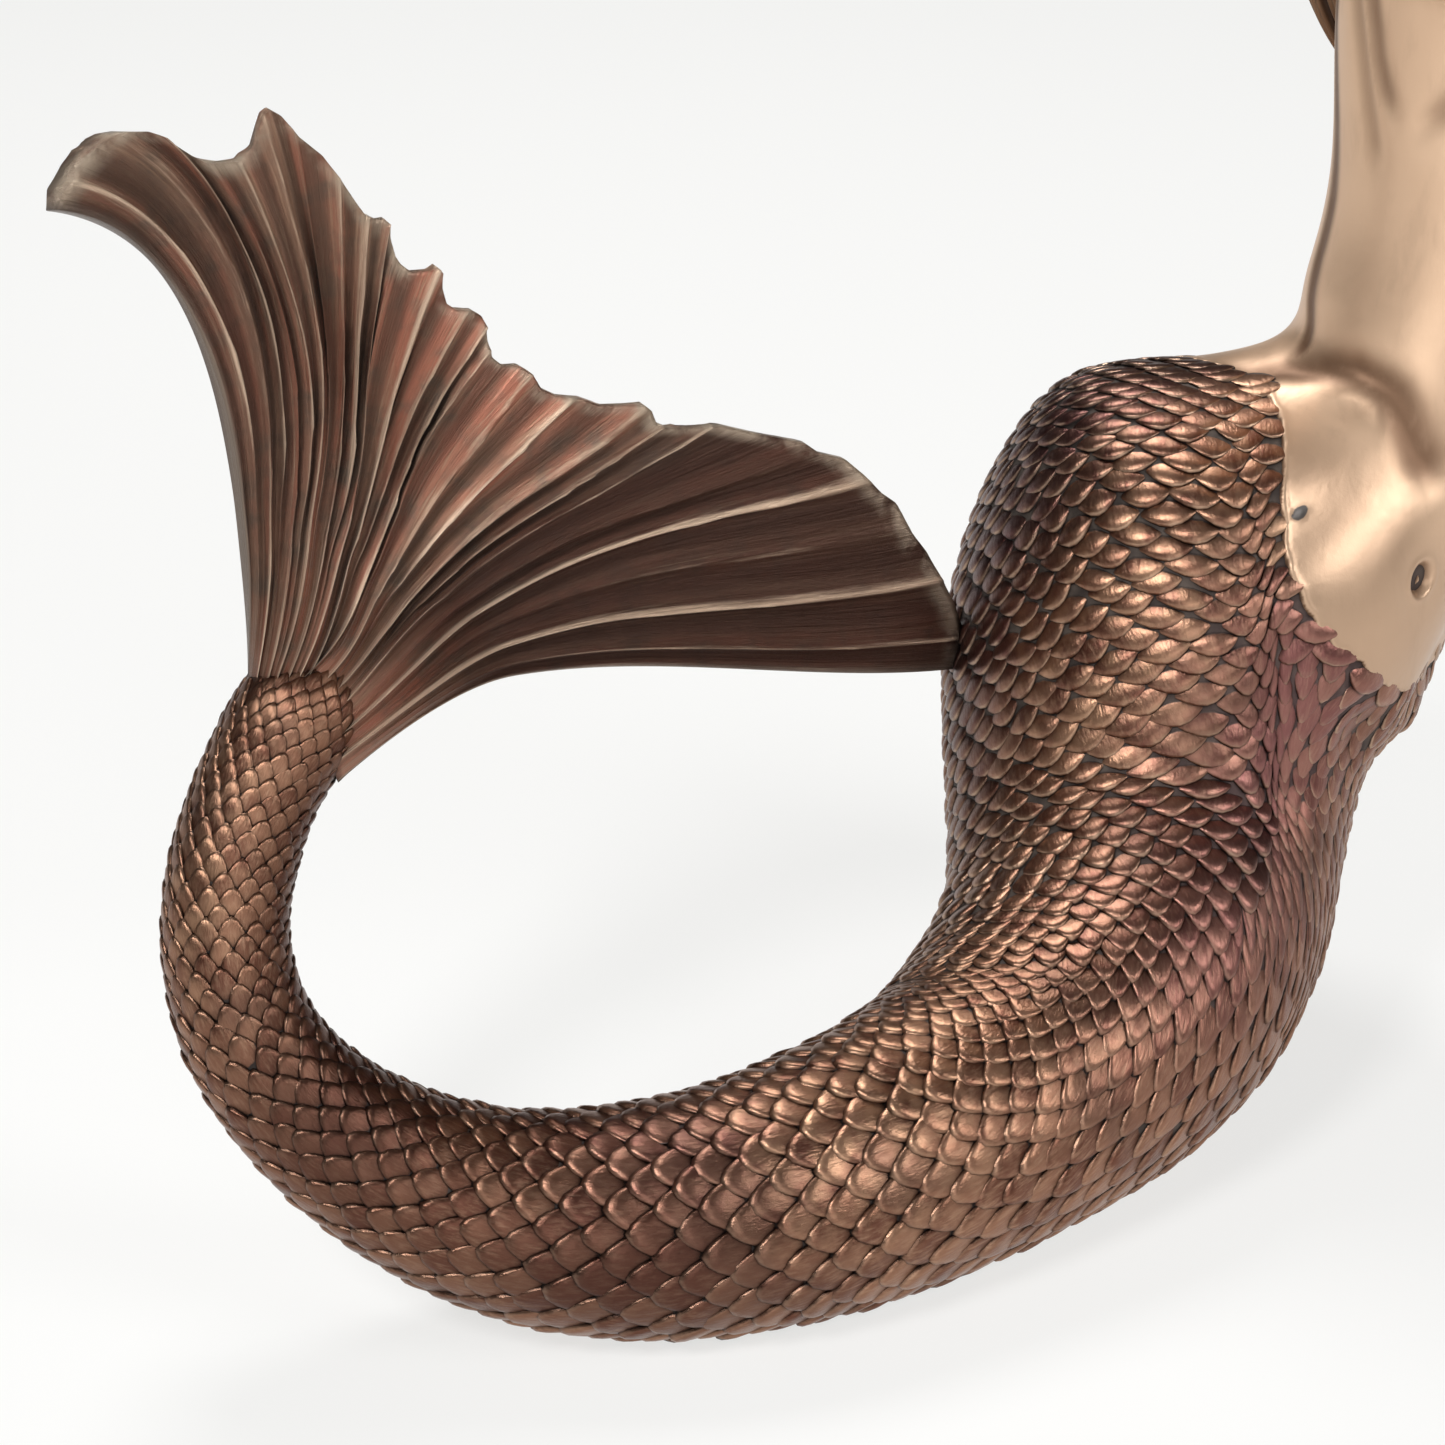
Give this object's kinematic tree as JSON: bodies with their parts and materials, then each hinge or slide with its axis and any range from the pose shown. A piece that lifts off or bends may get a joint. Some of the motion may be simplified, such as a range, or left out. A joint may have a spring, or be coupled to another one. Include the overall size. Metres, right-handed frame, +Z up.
{
  "type": "mermaid figurine",
  "caption": "Cast mermaid figurine in dark bronze finish: scaled tail curled in an open loop, ribbed fin, smooth upright torso with raised arms and long hair.",
  "frame": {"origin": "on the surface it stands on, under the middle of the figurine's box", "axes": "+Z up, -Y towards the side that shows the tail's loop open, +X towards the torso"},
  "size_m": [0.2446, 0.1562, 0.2756],
  "materials": {
    "patinated bronze finish": "dark brown patina worn to copper on the high places",
    "scale patina": "scales with worn copper rims and dull brown grooves",
    "polished skin": "smooth pale gold bronze, rubbed bright on the forms and brown in the folds",
    "fin patina": "red-brown patina with rubbed gold ribs",
    "hair patina": "dark brown strands with rubbed crests"
  },
  "bodies": {
    "root": {"mermaid": "patinated bronze finish"}
  },
  "joints": []
}
